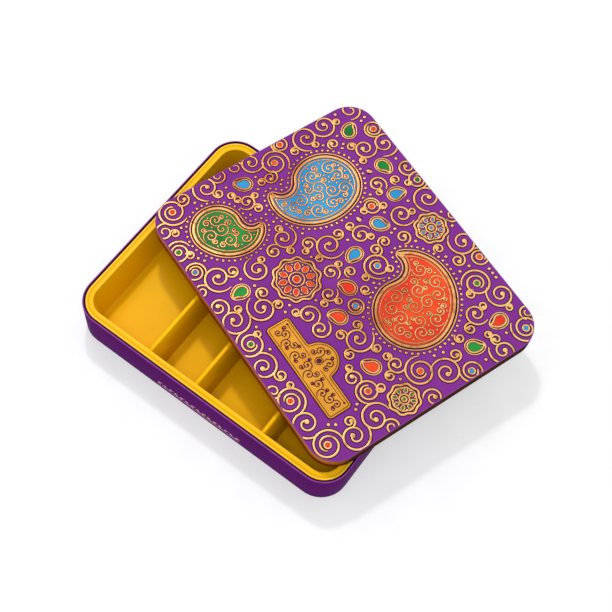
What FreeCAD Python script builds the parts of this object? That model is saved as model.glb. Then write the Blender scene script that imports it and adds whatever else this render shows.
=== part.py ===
import FreeCAD
import Part
import Sketcher
import math
import os

# A rigid board box for sweets with round corners, in millimetres.
# The base stands on its underside, centred on the origin, with its long sides along X.
# A moulded tray stands in the base, and the lid lies askew on the rim.

doc = FreeCAD.newDocument("SweetBox")
sheet = doc.addObject("Spreadsheet::Sheet", "Sizes")

sizes = {
    # base, over its outside
    "base_length": 250.0,
    "base_width": 202.0,
    "base_height": 37.5,
    "corner_radius": 23.0,
    # papers, boards and the films of glue between them
    "paper": 0.2,
    "glue_film": 0.1,
    "stay_tape": 0.15,
    "tape_width": 30.0,
    "seam_gap": 0.4,
    "cut_overrun": 1.0,
    "base_board": 1.4,
    "floor_board": 2.0,
    "base_turn_in": 16.0,
    "base_turn_under": 14.0,
    "sheet_margin": 2.0,
    "lining_margin": 1.0,
    # tray, one moulded sheet
    "tray_sheet": 0.8,
    "tray_clearance": 0.4,
    "tray_below_rim": 0.3,
    "flange_width": 6.1,
    "divider_drop": 1.5,
    "divider_top": 3.0,
    "cell_draft": 4.8,
    "cell_corner": 3.0,
    "cell_foot_corner": 2.0,
    # shares of the length that the dividers leave to the cells
    "first_share": 0.28,
    "second_share": 0.186,
    "third_share": 0.271,
    # lid, which slips over the base when it is closed
    "lid_clearance": 0.35,
    "lid_height": 13.0,
    "lid_corner_radius": 23.2,
    "lid_band": 1.2,
    "lid_board": 1.5,
    "lid_turn_in": 7.0,
    # raised plate on the lid, its middle placed from the lid's right and front edges
    "label_length": 86.0,
    "label_width": 20.5,
    "label_thickness": 0.5,
    "label_corner": 2.5,
    "label_crest_radius": 15.0,
    "label_from_right": 75.3,
    "label_from_front": 35.3,
    # how the lid lies on the base: its middle in shares of the base, and its turn in degrees
    "lid_along_share": 0.113,
    "lid_across_share": 0.2307,
    "lid_turn": 19.3,
}

for row, (alias, value) in enumerate(sizes.items(), start=1):
    sheet.set(f"A{row}", alias)
    sheet.set(f"B{row}", str(value))
    sheet.setAlias(f"B{row}", alias)
doc.recompute()

# Depths below the base's outer face: paper, glue, board, tape and glue, paper.
baseBoardOuter = "(Sizes.paper + Sizes.glue_film)"
baseBoardInner = f"({baseBoardOuter} + Sizes.base_board)"
baseTurnOuter = f"({baseBoardInner} + Sizes.stay_tape + Sizes.glue_film)"
baseInside = f"({baseTurnOuter} + Sizes.paper)"

# Heights in the base, from the ground up.
underLevel = "(Sizes.paper + Sizes.glue_film)"
floorLevel = f"({underLevel} + Sizes.paper + Sizes.glue_film)"
liningLevel = f"({floorLevel} + Sizes.floor_board + Sizes.glue_film)"
trayLevel = f"({liningLevel} + Sizes.paper)"
turnInLevel = "(Sizes.base_height - Sizes.base_turn_in)"
baseBoardTop = "(Sizes.base_height - Sizes.paper - Sizes.glue_film)"

# The tray's flange lies inside the rim, and its well lies inside the flange.
flangeInset = f"({baseInside} + Sizes.tray_clearance)"
wellInset = f"({flangeInset} + Sizes.flange_width)"
flangeTop = "(Sizes.base_height - Sizes.tray_below_rim)"
dividerTop = f"({flangeTop} - Sizes.divider_drop)"
cellFloor = f"({trayLevel} + Sizes.tray_sheet)"
wellLength = f"(Sizes.base_length - 2 * {wellInset})"
wellWidth = f"(Sizes.base_width - 2 * {wellInset})"
wellRadius = f"(Sizes.corner_radius - {wellInset})"

# Depths below the lid's outer face, and heights above the skirt's lower edge.
lidBandOuter = "(Sizes.paper + Sizes.glue_film)"
lidBandInner = f"({lidBandOuter} + Sizes.lid_band)"
lidTurnOuter = f"({lidBandInner} + Sizes.stay_tape + Sizes.glue_film)"
lidInside = f"({lidTurnOuter} + Sizes.paper)"
lidLength = f"(Sizes.base_length + 2 * (Sizes.lid_clearance + {lidInside}))"
lidWidth = f"(Sizes.base_width + 2 * (Sizes.lid_clearance + {lidInside}))"
lidSheetLevel = "(Sizes.lid_height - Sizes.paper)"
lidBoardLevel = f"({lidSheetLevel} - Sizes.glue_film - Sizes.lid_board)"
lidLiningLevel = f"({lidBoardLevel} - Sizes.glue_film - Sizes.paper)"
lidBandLevel = "(Sizes.paper + Sizes.glue_film)"
lidBandTop = f"({lidBoardLevel} - Sizes.glue_film)"


def newBody(label):
    body = doc.addObject("PartDesign::Body", label)
    body.Label = label
    return body


def newSketch(body, level, along="0", across="0"):
    plane = next(item for item in body.Origin.OriginFeatures if item.Role == "XY_Plane")
    sketch = body.newObject("Sketcher::SketchObject", f"{body.Label}_outline")
    sketch.AttachmentSupport = [(plane, "")]
    sketch.MapMode = "FlatFace"
    sketch.setExpression("AttachmentOffset.Base.x", along)
    sketch.setExpression("AttachmentOffset.Base.y", across)
    sketch.setExpression("AttachmentOffset.Base.z", level)
    return sketch


def drive(sketch, name, expression, *constraint):
    # A dimension with a name, bound to the sheet.
    value = float(sketch.evalExpression(expression))
    index = sketch.addConstraint(Sketcher.Constraint(*constraint, value))
    sketch.renameConstraint(index, name)
    sketch.setExpression(f"Constraints.{name}", expression)


def holdSides(sketch, name, right, top, left, bottom, length, width):
    # The four sides stand half a length and half a width from the sketch's origin.
    drive(sketch, f"{name}Right", f"{length} / 2", "DistanceX", -1, 1, right, 1)
    drive(sketch, f"{name}Left", f"{length} / 2", "DistanceX", left, 1, -1, 1)
    drive(sketch, f"{name}Top", f"{width} / 2", "DistanceY", -1, 1, top, 1)
    drive(sketch, f"{name}Bottom", f"{width} / 2", "DistanceY", bottom, 1, -1, 1)


def addRounded(sketch, name, length, width, leftRadius, rightRadius):
    # A rectangle about the sketch's origin, with one radius for its left and one for its right corners.
    halfLength = float(sketch.evalExpression(length)) / 2
    halfWidth = float(sketch.evalExpression(width)) / 2
    left = float(sketch.evalExpression(leftRadius))
    right = float(sketch.evalExpression(rightRadius))
    centres = [
        (halfLength - right, right - halfWidth, right),
        (halfLength - right, halfWidth - right, right),
        (left - halfLength, halfWidth - left, left),
        (left - halfLength, left - halfWidth, left),
    ]
    quarterTurn = math.pi / 2
    start = -quarterTurn
    arcs = []
    for x, y, radius in centres:
        circle = Part.Circle(FreeCAD.Vector(x, y, 0), FreeCAD.Vector(0, 0, 1), radius)
        arcs.append(Part.ArcOfCircle(circle, start, start + quarterTurn))
        start += quarterTurn
    arcIds = [sketch.addGeometry(arc, False) for arc in arcs]
    lineIds = []
    for arc, following in zip(arcs, arcs[1:] + arcs[:1]):
        lineIds.append(sketch.addGeometry(Part.LineSegment(arc.EndPoint, following.StartPoint), False))
    for index in range(4):
        sketch.addConstraint(Sketcher.Constraint("Tangent", arcIds[index], 2, lineIds[index], 1))
        sketch.addConstraint(Sketcher.Constraint("Tangent", lineIds[index], 2, arcIds[(index + 1) % 4], 1))
        direction = "Horizontal" if index % 2 else "Vertical"
        sketch.addConstraint(Sketcher.Constraint(direction, lineIds[index]))
    rightSide, topSide, leftSide, bottomSide = lineIds
    holdSides(sketch, name, rightSide, topSide, leftSide, bottomSide, length, width)
    drive(sketch, f"{name}RightRadius", rightRadius, "Radius", arcIds[0])
    drive(sketch, f"{name}LeftRadius", leftRadius, "Radius", arcIds[2])
    sketch.addConstraint(Sketcher.Constraint("Equal", arcIds[0], arcIds[1]))
    sketch.addConstraint(Sketcher.Constraint("Equal", arcIds[2], arcIds[3]))


def addRectangle(sketch, name, length, width):
    halfLength = float(sketch.evalExpression(length)) / 2
    halfWidth = float(sketch.evalExpression(width)) / 2
    points = [
        FreeCAD.Vector(halfLength, -halfWidth, 0),
        FreeCAD.Vector(halfLength, halfWidth, 0),
        FreeCAD.Vector(-halfLength, halfWidth, 0),
        FreeCAD.Vector(-halfLength, -halfWidth, 0),
    ]
    lineIds = []
    for point, following in zip(points, points[1:] + points[:1]):
        lineIds.append(sketch.addGeometry(Part.LineSegment(point, following), False))
    for index in range(4):
        following = lineIds[(index + 1) % 4]
        sketch.addConstraint(Sketcher.Constraint("Coincident", lineIds[index], 2, following, 1))
        direction = "Horizontal" if index % 2 else "Vertical"
        sketch.addConstraint(Sketcher.Constraint(direction, lineIds[index]))
    rightSide, topSide, leftSide, bottomSide = lineIds
    holdSides(sketch, name, rightSide, topSide, leftSide, bottomSide, length, width)


def addBaseOutline(sketch, name, inset):
    # The base's outline, drawn in from the outer face by an inset.
    radius = f"(Sizes.corner_radius - {inset})"
    length = f"(Sizes.base_length - 2 * {inset})"
    width = f"(Sizes.base_width - 2 * {inset})"
    addRounded(sketch, name, length, width, radius, radius)


def addLidOutline(sketch, name, inset):
    # The lid's outline, drawn in from the outer face by an inset.
    radius = f"(Sizes.lid_corner_radius - {inset})"
    length = f"({lidLength} - 2 * {inset})"
    width = f"({lidWidth} - 2 * {inset})"
    addRounded(sketch, name, length, width, radius, radius)


def pad(body, sketch, height):
    feature = body.newObject("PartDesign::Pad", f"{body.Label}_pad")
    feature.Profile = sketch
    feature.setExpression("Length", height)
    doc.recompute()


def pocket(body, sketch, depth):
    # A cut downwards from the sketch, which has to take something away.
    before = body.Shape.Volume
    feature = body.newObject("PartDesign::Pocket", f"{body.Label}_pocket")
    feature.Profile = sketch
    feature.setExpression("Length", depth)
    doc.recompute()
    if not body.Shape.Volume < before:
        raise RuntimeError(f"a pocket of {body.Label} cuts nothing")


def loft(body, kind, lower, upper):
    before = body.Shape.Volume
    feature = body.newObject(f"PartDesign::{kind}", f"{body.Label}_loft")
    feature.Profile = lower
    feature.Sections = [upper]
    feature.Ruled = True
    doc.recompute()
    if body.Shape.Volume == before:
        raise RuntimeError(f"a loft of {body.Label} changes nothing")


def plate(label, outline, inset, level, thickness):
    body = newBody(label)
    sketch = newSketch(body, level)
    outline(sketch, "edge", inset)
    pad(body, sketch, thickness)
    return body


def band(label, outline, width, outer, inner, level, height):
    # A board strip bent to a ring: its ends meet in a butt joint at the middle of the back.
    body = newBody(label)
    ring = newSketch(body, level)
    outline(ring, "outer", outer)
    outline(ring, "inner", inner)
    pad(body, ring, height)
    middle = f"({width} / 2 - ({outer} + {inner}) / 2)"
    seam = newSketch(body, f"({level} + {height})", "0", middle)
    addRectangle(seam, "seam", "Sizes.seam_gap", f"({inner} - {outer} + 2 * Sizes.cut_overrun)")
    pocket(body, seam, height)
    return body


def seamTape(label, width, inner, level, height):
    # A strip of stay tape on the inside of the band, over its joint.
    body = newBody(label)
    sketch = newSketch(body, level, "0", f"{width} / 2 - {inner} - Sizes.stay_tape / 2")
    addRectangle(sketch, "tape", "Sizes.tape_width", "Sizes.stay_tape")
    pad(body, sketch, height)
    return body


def layOnRim(body):
    # The lid's pieces are drawn about the lid's own centre and lie askew on the rim.
    body.setExpression("Placement.Base.x", "Sizes.lid_along_share * Sizes.base_length")
    body.setExpression("Placement.Base.y", "Sizes.lid_across_share * Sizes.base_width")
    body.setExpression("Placement.Base.z", "Sizes.base_height")
    body.setExpression("Placement.Rotation.Angle", "-Sizes.lid_turn * 1 deg")


def makeBaseWrap():
    # Printed paper: a skin round the wall, over the rim, down inside, and under the floor.
    body = newBody("base_wrap")
    skin = newSketch(body, underLevel)
    addBaseOutline(skin, "skin", "0")
    pad(body, skin, f"Sizes.base_height - {underLevel}")
    room = newSketch(body, turnInLevel)
    addBaseOutline(room, "room", "Sizes.paper")
    pocket(body, room, f"{turnInLevel} - {underLevel} - Sizes.paper")
    slot = newSketch(body, "Sizes.base_height - Sizes.paper")
    addBaseOutline(slot, "outer", "Sizes.paper")
    addBaseOutline(slot, "inner", baseTurnOuter)
    pocket(body, slot, "Sizes.base_turn_in - Sizes.paper")
    mouth = newSketch(body, "Sizes.base_height")
    addBaseOutline(mouth, "mouth", baseInside)
    pocket(body, mouth, "Sizes.base_turn_in")
    under = newSketch(body, f"{underLevel} + Sizes.paper")
    addBaseOutline(under, "under", "Sizes.base_turn_under")
    pocket(body, under, "Sizes.paper")
    return body


def makeLidSideWrap():
    # Bronze paper: a skin round the skirt, turned in over the skirt's lower edge.
    body = newBody("lid_side_wrap")
    skin = newSketch(body, "0")
    addLidOutline(skin, "skin", "0")
    pad(body, skin, lidSheetLevel)
    room = newSketch(body, lidSheetLevel)
    addLidOutline(room, "room", "Sizes.paper")
    pocket(body, room, f"{lidSheetLevel} - Sizes.lid_turn_in")
    slot = newSketch(body, "Sizes.lid_turn_in")
    addLidOutline(slot, "outer", "Sizes.paper")
    addLidOutline(slot, "inner", lidTurnOuter)
    pocket(body, slot, "Sizes.lid_turn_in - Sizes.paper")
    mouth = newSketch(body, "Sizes.lid_turn_in")
    addLidOutline(mouth, "mouth", lidInside)
    pocket(body, mouth, "Sizes.lid_turn_in")
    return body


def cellOutline(body, cell, level, grow, drawIn, footCorners):
    # One cell's outline at a level: grown by the sheet outside, drawn in by the draft at its foot.
    sketch = newSketch(body, level, cell["along"])
    length = f"({cell['length']} + 2 * {grow} - 2 * {drawIn})"
    width = f"({wellWidth} + 2 * {grow} - 2 * {drawIn})"
    wallCorner = f"({wellRadius} + {grow} - {drawIn})"
    innerCorner = "Sizes.cell_foot_corner" if footCorners else "Sizes.cell_corner"
    dividerCorner = f"({innerCorner} + {grow})"
    leftCorner = wallCorner if cell["end"] == "left" else dividerCorner
    rightCorner = wallCorner if cell["end"] == "right" else dividerCorner
    addRounded(sketch, "cell", length, width, leftCorner, rightCorner)
    return sketch


def makeTray():
    # One moulded sheet: a flange, a shallow well inside it, and drafted cells with dividers between.
    body = newBody("sweet_tray")
    flange = newSketch(body, f"{flangeTop} - Sizes.tray_sheet")
    addBaseOutline(flange, "flange", flangeInset)
    pad(body, flange, "Sizes.tray_sheet")
    wellOuter = newSketch(body, f"{dividerTop} - Sizes.tray_sheet")
    addBaseOutline(wellOuter, "well", f"({wellInset} - Sizes.tray_sheet)")
    pad(body, wellOuter, "Sizes.divider_drop")
    well = newSketch(body, flangeTop)
    addBaseOutline(well, "well", wellInset)
    pocket(body, well, "Sizes.divider_drop")

    cellRoom = f"({wellLength} - 3 * Sizes.divider_top)"
    shares = ["Sizes.first_share", "Sizes.second_share", "Sizes.third_share"]
    shares.append("(1 - Sizes.first_share - Sizes.second_share - Sizes.third_share)")
    ends = ["left", "", "", "right"]
    start = f"(-{wellLength} / 2)"
    cells = []
    for share, end in zip(shares, ends):
        length = f"({share} * {cellRoom})"
        cells.append({"length": length, "along": f"({start} + {length} / 2)", "end": end})
        start = f"({start} + {length} + Sizes.divider_top)"

    for cell in cells:
        foot = cellOutline(body, cell, trayLevel, "Sizes.tray_sheet", "Sizes.cell_draft", True)
        mouth = cellOutline(body, cell, dividerTop, "Sizes.tray_sheet", "0", False)
        loft(body, "AdditiveLoft", foot, mouth)
    for cell in cells:
        foot = cellOutline(body, cell, cellFloor, "0", "Sizes.cell_draft", True)
        mouth = cellOutline(body, cell, dividerTop, "0", "0", False)
        loft(body, "SubtractiveLoft", foot, mouth)
    return body


def makeLabel():
    # A plate with round corners and a round crest on its inner long side.
    body = newBody("lid_label")
    along = f"({lidLength} / 2 - Sizes.label_from_right)"
    across = f"(Sizes.label_from_front - {lidWidth} / 2)"
    outline = newSketch(body, "Sizes.lid_height", along, across)
    corner = "Sizes.label_corner"
    addRounded(outline, "plate", "Sizes.label_length", "Sizes.label_width", corner, corner)
    pad(body, outline, "Sizes.label_thickness")
    crest = newSketch(body, "Sizes.lid_height", along, f"{across} + Sizes.label_width / 2")
    radius = float(crest.evalExpression("Sizes.label_crest_radius"))
    circle = Part.Circle(FreeCAD.Vector(0, 0, 0), FreeCAD.Vector(0, 0, 1), radius)
    circleId = crest.addGeometry(circle, False)
    crest.addConstraint(Sketcher.Constraint("Coincident", circleId, 3, -1, 1))
    drive(crest, "crestRadius", "Sizes.label_crest_radius", "Radius", circleId)
    pad(body, crest, "Sizes.label_thickness")
    return body


subParts = []

# Base
subParts.append(plate("base_bottom_sheet", addBaseOutline, "Sizes.sheet_margin", "0", "Sizes.paper"))
subParts.append(makeBaseWrap())

baseWallDepths = (baseBoardOuter, baseBoardInner)
baseWallSpan = (floorLevel, f"({baseBoardTop} - {floorLevel})")
subParts.append(band("base_wall_board", addBaseOutline, "Sizes.base_width", *baseWallDepths, *baseWallSpan))

floorInset = f"({baseBoardInner} + Sizes.glue_film)"
subParts.append(plate("base_floor_board", addBaseOutline, floorInset, floorLevel, "Sizes.floor_board"))
liningInset = f"({floorInset} + Sizes.lining_margin)"
subParts.append(plate("base_floor_lining", addBaseOutline, liningInset, liningLevel, "Sizes.paper"))

baseTapeHeight = f"{baseBoardTop} - {trayLevel}"
subParts.append(seamTape("base_seam_tape", "Sizes.base_width", baseBoardInner, trayLevel, baseTapeHeight))

# Tray
subParts.append(makeTray())

# Lid
lidPieces = []
lidPieces.append(makeLidSideWrap())
lidWallDepths = (lidBandOuter, lidBandInner)
lidWallSpan = (lidBandLevel, f"({lidBandTop} - {lidBandLevel})")
lidPieces.append(band("lid_wall_board", addLidOutline, lidWidth, *lidWallDepths, *lidWallSpan))
lidTapeHeight = f"{lidLiningLevel} - {lidBandLevel}"
lidPieces.append(seamTape("lid_seam_tape", lidWidth, lidBandInner, lidBandLevel, lidTapeHeight))
lidPieces.append(plate("lid_top_board", addLidOutline, lidBandOuter, lidBoardLevel, "Sizes.lid_board"))
lidPieces.append(plate("lid_top_sheet", addLidOutline, "0", lidSheetLevel, "Sizes.paper"))
lidLiningInset = f"({lidInside} + Sizes.lining_margin)"
lidPieces.append(plate("lid_lining", addLidOutline, lidLiningInset, lidLiningLevel, "Sizes.paper"))
lidPieces.append(makeLabel())
for piece in lidPieces:
    layOnRim(piece)
subParts.extend(lidPieces)

doc.recompute()
for item in doc.Objects:
    if "Invalid" in item.State or "Error" in item.State:
        raise RuntimeError(f"{item.Label} failed: {item.State}")
for piece in subParts:
    if piece.Shape.isNull() or not piece.Shape.isValid():
        raise RuntimeError(f"{piece.Label} has no valid shape")

os.makedirs("parts", exist_ok=True)
for piece in subParts:
    piece.Shape.exportStep(f"parts/{piece.Label}.step")
    box = piece.Shape.BoundBox
    print(f"{piece.Label}: {len(piece.Shape.Solids)} solid, {piece.Shape.Volume:.0f} mm3,"
          f" {box.XLength:.1f} x {box.YLength:.1f} x {box.ZLength:.1f}")
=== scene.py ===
import bpy
import math
import numpy as np
from mathutils import Matrix


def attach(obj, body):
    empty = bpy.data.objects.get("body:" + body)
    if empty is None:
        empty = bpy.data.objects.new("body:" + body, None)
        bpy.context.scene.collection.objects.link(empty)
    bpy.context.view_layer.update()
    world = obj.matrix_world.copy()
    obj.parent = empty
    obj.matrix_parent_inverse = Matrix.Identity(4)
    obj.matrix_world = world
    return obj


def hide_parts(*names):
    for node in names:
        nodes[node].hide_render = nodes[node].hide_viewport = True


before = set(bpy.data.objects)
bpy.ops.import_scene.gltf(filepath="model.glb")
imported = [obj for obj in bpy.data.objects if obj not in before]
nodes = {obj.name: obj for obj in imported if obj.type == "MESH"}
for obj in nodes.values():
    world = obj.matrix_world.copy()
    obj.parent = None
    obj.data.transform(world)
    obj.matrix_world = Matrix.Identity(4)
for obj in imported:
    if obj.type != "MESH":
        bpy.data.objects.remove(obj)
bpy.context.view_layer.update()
mm = 0.001


# Shader sockets with arithmetic

class Flow:
    # wraps one socket; an expression on values adds Math nodes
    def __init__(self, tree, socket=None):
        self.tree = tree
        self.socket = socket

    def node(self, kind, settings=None, inputs=None, out=0):
        made = self.tree.nodes.new("ShaderNode" + kind)
        for name, value in (settings or {}).items():
            setattr(made, name, value)
        for name, value in (inputs or {}).items():
            if isinstance(value, Flow):
                self.tree.links.new(value.socket, made.inputs[name])
            else:
                made.inputs[name].default_value = value
        return Flow(self.tree, made.outputs[out])

    def math(self, operation, first, second):
        return self.node("Math", {"operation": operation}, {0: first, 1: second})

    def __add__(self, other):
        return self.math("ADD", self, other)

    def __radd__(self, other):
        return self.math("ADD", other, self)

    def __sub__(self, other):
        return self.math("SUBTRACT", self, other)

    def __rsub__(self, other):
        return self.math("SUBTRACT", other, self)

    def __mul__(self, other):
        return self.math("MULTIPLY", self, other)

    def ramp(self, low, high):
        # 0 below low, 1 above high, smooth between
        span = {"Value": self, "From Min": low, "From Max": high, "To Min": 0.0, "To Max": 1.0}
        return self.node("MapRange", {"interpolation_type": "SMOOTHSTEP"}, span)

    def mix(self, first, second):
        # this value picks between two colours
        return self.node("Mix", {"data_type": "RGBA"}, {0: self, 6: first, 7: second}, 2)

    def given(self, name):
        # the number that giveValue gave to each point
        return self.node("Attribute", {"attribute_name": name}, out=2)

    def bump(self, strength, distance):
        # this value as a height
        return self.node("Bump", None, {"Strength": strength, "Distance": distance, "Height": self})


def paint(red, green, blue):
    # a screen colour, 0 to 255, as the linear colour that sockets take
    screen = np.array([red, green, blue]) / 255
    linear = np.where(screen <= 0.04045, screen / 12.92, ((screen + 0.055) / 1.055) ** 2.4)
    return (*linear.tolist(), 1.0)


def objectNoise(flow, perMetre, detail=3.0, stretch=(1, 1, 1), turn=0.0):
    # noise in the object's own coordinates, with a Mapping node to stretch and turn it
    place = flow.node("TexCoord", out=3)
    laid = flow.node("Mapping", None, {"Vector": place, "Rotation": (0, 0, turn), "Scale": stretch})
    return flow.node("TexNoise", None, {"Vector": laid, "Scale": perMetre, "Detail": detail})


def newMaterial(name, constants, build):
    material = bpy.data.materials.new(name)
    material.use_nodes = True
    tree = material.node_tree
    shader = tree.nodes["Principled BSDF"]
    for socket, value in constants.items():
        shader.inputs[socket].default_value = value
    for socket, value in build(Flow(tree)).items():
        tree.links.new(value.socket, shader.inputs[socket])
    return material


# Finishes

def purplePaper(name, deep, light, gloss, sheen):
    # printed paper under a satin film: cloudy ink, fibre grain, a fine tooth in the film;
    # the attribute paints a lilac highlight, broken up by noise, on the outer fold of a rim (1) and paints
    # shade on what is turned in (-1)
    def build(flow):
        cloud = objectNoise(flow, 28.0, 4.0)
        grain = objectNoise(flow, 1500.0, 2.0)
        wearAndHighlight = objectNoise(flow, 240.0, 4.0)
        paintedRimLight = flow.given("paintedRimLight")
        colour = (cloud * 0.5 + grain * 0.5).ramp(0.3, 0.7).mix(paint(*deep), paint(*light))
        # painted highlight: lilac where the attribute is above zero, broken up by noise
        colour = (paintedRimLight.ramp(0.35, 0.9) * (0.25 + wearAndHighlight * 0.7)).mix(colour, paint(150, 78, 156))
        # painted shade: dark plum where the attribute is below zero
        colour = paintedRimLight.ramp(-0.2, -0.9).mix(colour, paint(44, 8, 40))
        rough = gloss + (grain - 0.5) * 0.16
        tooth = grain.bump(0.10, 0.0002)
        return {"Base Color": colour, "Roughness": rough, "Normal": tooth}
    return newMaterial(name, {"Specular IOR Level": sheen}, build)


def bronzePaper():
    # dark metallic paper with a brushed grain round the skirt, with an orange painted reflection of the tray
    # where the attribute says so
    def build(flow):
        brushed = objectNoise(flow, 240.0, 2.0, (1, 1, 8))
        grain = objectNoise(flow, 1800.0, 2.0)
        trayReflection = flow.given("trayReflection")
        streak = (brushed * 0.6 + grain * 0.4).ramp(0.3, 0.7)
        dark = streak.mix(paint(36, 24, 14), paint(46, 32, 19))
        # painted reflection of the tray: orange on faces that look to the front
        colour = trayReflection.mix(dark, streak.mix(paint(172, 102, 38), paint(184, 114, 46)))
        rough = 0.27 + brushed * 0.08 + grain * 0.06
        tooth = grain.bump(0.06, 0.0002)
        return {"Base Color": colour, "Roughness": rough, "Normal": tooth}
    return newMaterial("bronzePaper", {"Metallic": 0.9, "Specular Tint": (0.30, 0.22, 0.16, 1.0)}, build)


def yellowSheet():
    # glossy moulded sheet: slow flow marks in colour and gloss, a faint orange peel;
    # the attribute paints a pale highlight on its edges and lip (1) and paints shade into the channel and down
    # the dividers (-1)
    def build(flow):
        slow = objectNoise(flow, 22.0, 3.0)
        peel = objectNoise(flow, 260.0, 2.0)
        toneAndPaintedLight = flow.given("toneAndPaintedLight")
        colour = slow.ramp(0.25, 0.75).mix(paint(220, 165, 0), paint(229, 174, 2))
        # painted highlight: pale yellow where the attribute is above zero
        colour = (toneAndPaintedLight.ramp(0.1, 1.0) * 0.8).mix(colour, paint(232, 190, 60))
        # painted shade: deep yellow where the attribute is below zero
        colour = (toneAndPaintedLight.ramp(-0.1, -1.0) * 0.8).mix(colour, paint(182, 132, 0))
        rough = 0.24 + slow * 0.12
        wave = peel.bump(0.05, 0.0006)
        return {"Base Color": colour, "Roughness": rough, "Normal": wave}
    return newMaterial("yellowSheet", {"Specular IOR Level": 0.08}, build)


def rawFibre(name, dark, light, perMetre, rough):
    # raw board, gummed tape and lining: fibres laid mostly one way
    def build(flow):
        fibre = objectNoise(flow, perMetre, 5.0, (1, 6, 1), 0.3)
        fleck = objectNoise(flow, perMetre * 3, 2.0)
        colour = (fibre * 0.6 + fleck * 0.4).ramp(0.3, 0.72).mix(paint(*dark), paint(*light))
        nap = fibre.bump(0.25, 0.0002)
        return {"Base Color": colour, "Roughness": rough + fleck * 0.1, "Normal": nap}
    return newMaterial(name, {"Specular IOR Level": 0.25}, build)


def foil(name, dull, bright, rough, worn, shaded):
    # hot foil: soft mottling, brown shading, a fine tooth, a little wear;
    # one attribute paints a sheen on it that brightens and yellows it, another gives it a dark plum foot
    def build(flow):
        foot = flow.given("rim").ramp(0.06, 0.18)
        mottle = objectNoise(flow, 60.0, 4.0)
        fine = objectNoise(flow, 2200.0, 2.0)
        wearAndHighlight = objectNoise(flow, 420.0, 5.0).ramp(0.62, 0.78) * worn
        sheen = objectNoise(flow, 11.0, 2.0)
        paintedSheen = flow.given("paintedSheen")
        # painted sheen: the attribute brightens the foil, and turns it cream above 0.7
        face = (sheen * 0.6 + mottle * 0.4 + paintedSheen * 0.2).ramp(0.39, 0.69).mix(paint(*dull), paint(*bright))
        face = (paintedSheen.ramp(0.7, 1.5) * 0.85).mix(face, paint(255, 212, 132))
        shade = objectNoise(flow, 190.0, 2.0).ramp(0.54, 0.70) * shaded
        face = wearAndHighlight.mix(shade.mix(face, paint(150, 86, 30)), paint(120, 62, 66))
        colour = foot.mix(face, paint(40, 3, 26))
        shine = 0.92 - foot * 0.92
        gloss = rough + fine * 0.12 + foot * 0.25 + wearAndHighlight * 0.2
        tooth = fine.bump(0.08, 0.0001)
        return {"Base Color": colour, "Metallic": shine, "Roughness": gloss, "Normal": tooth}
    return newMaterial(name, {"Specular IOR Level": 0.14}, build)


def inlayInk(name, deep, light):
    # gloss ink on the print: a slow change of tone and a fine tooth
    def build(flow):
        toneAndPaintedLight = objectNoise(flow, 38.0, 3.0)
        fine = objectNoise(flow, 1500.0, 2.0)
        colour = (toneAndPaintedLight * 0.85 + fine * 0.15).ramp(0.34, 0.66).mix(paint(*deep), paint(*light))
        tooth = fine.bump(0.06, 0.0001)
        return {"Base Color": colour, "Roughness": 0.30 + fine * 0.12, "Normal": tooth}
    return newMaterial(name, {"Specular IOR Level": 0.18}, build)


basePurple = purplePaper("basePurple", (77, 9, 88), (87, 13, 98), 0.46, 0.005)
lidPurple = purplePaper("lidPurple", (105, 37, 120), (119, 46, 132), 0.42, 0.04)
bronze = bronzePaper()
trayYellow = yellowSheet()
greyBoard = rawFibre("greyBoard", (92, 88, 80), (122, 117, 108), 220.0, 0.85)
kraftTape = rawFibre("kraftTape", (114, 84, 54), (138, 108, 72), 260.0, 0.70)
creamPaper = rawFibre("creamPaper", (166, 158, 142), (182, 176, 162), 300.0, 0.80)
goldFoil = foil("goldFoil", (190, 118, 68), (252, 186, 116), 0.26, 0.35, 0.5)
plateFoil = foil("plateFoil", (208, 138, 44), (230, 162, 58), 0.30, 0.25, 0.0)
plumInk = inlayInk("plumInk", (66, 12, 34), (84, 20, 42))
roseInk = inlayInk("roseInk", (206, 138, 184), (228, 172, 174))
inlays = {
    "red": inlayInk("redInk", (200, 40, 20), (222, 70, 22)),
    "cyan": inlayInk("cyanInk", (24, 118, 170), (44, 144, 192)),
    "green": inlayInk("greenInk", (7, 98, 38), (30, 132, 50)),
}
print("finishes made")


# Shapes

def way(angle):
    # the unit vector of one angle
    return np.array([math.cos(angle), math.sin(angle)])


def ways(angles):
    # the unit vectors of many angles, one in each row
    return np.stack([np.cos(angles), np.sin(angles)], 1)


def roundedWalk(length, width, radius, perCorner=14, perSide=10, gap=0.0):
    # Once round a rounded rectangle, counter-clockwise from the middle of its back:
    # point = corner centre + radius * (cos, sin) on the arcs, straight runs between them.
    halfX, halfY = length / 2 - radius, width / 2 - radius
    turn = np.linspace(0, math.pi / 2, perCorner + 1)
    run = np.linspace(0, 1, perSide + 2)[1:-1, None]
    corners = [(-halfX, halfY, 1), (-halfX, -halfY, 2), (halfX, -halfY, 3), (halfX, halfY, 4)]
    start, end = np.array([[-gap / 2, width / 2]]), np.array([[gap / 2, width / 2]])
    points, normals = [start], [np.array([[0.0, 1.0]])]
    for x, y, quarter in corners:
        angle = turn + quarter * math.pi / 2
        normal = ways(angle)
        arc = np.array([x, y]) + radius * normal
        points += [points[-1][-1:] * (1 - run) + arc[:1] * run, arc]
        normals += [np.repeat(normal[:1], perSide, 0), normal]
    points.append(arc[-1:] * (1 - run) + end * run)
    normals.append(np.repeat(normal[-1:], perSide, 0))
    if gap:
        points.append(end)
        normals.append(normals[0])
    return np.concatenate(points), np.concatenate(normals)


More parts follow.
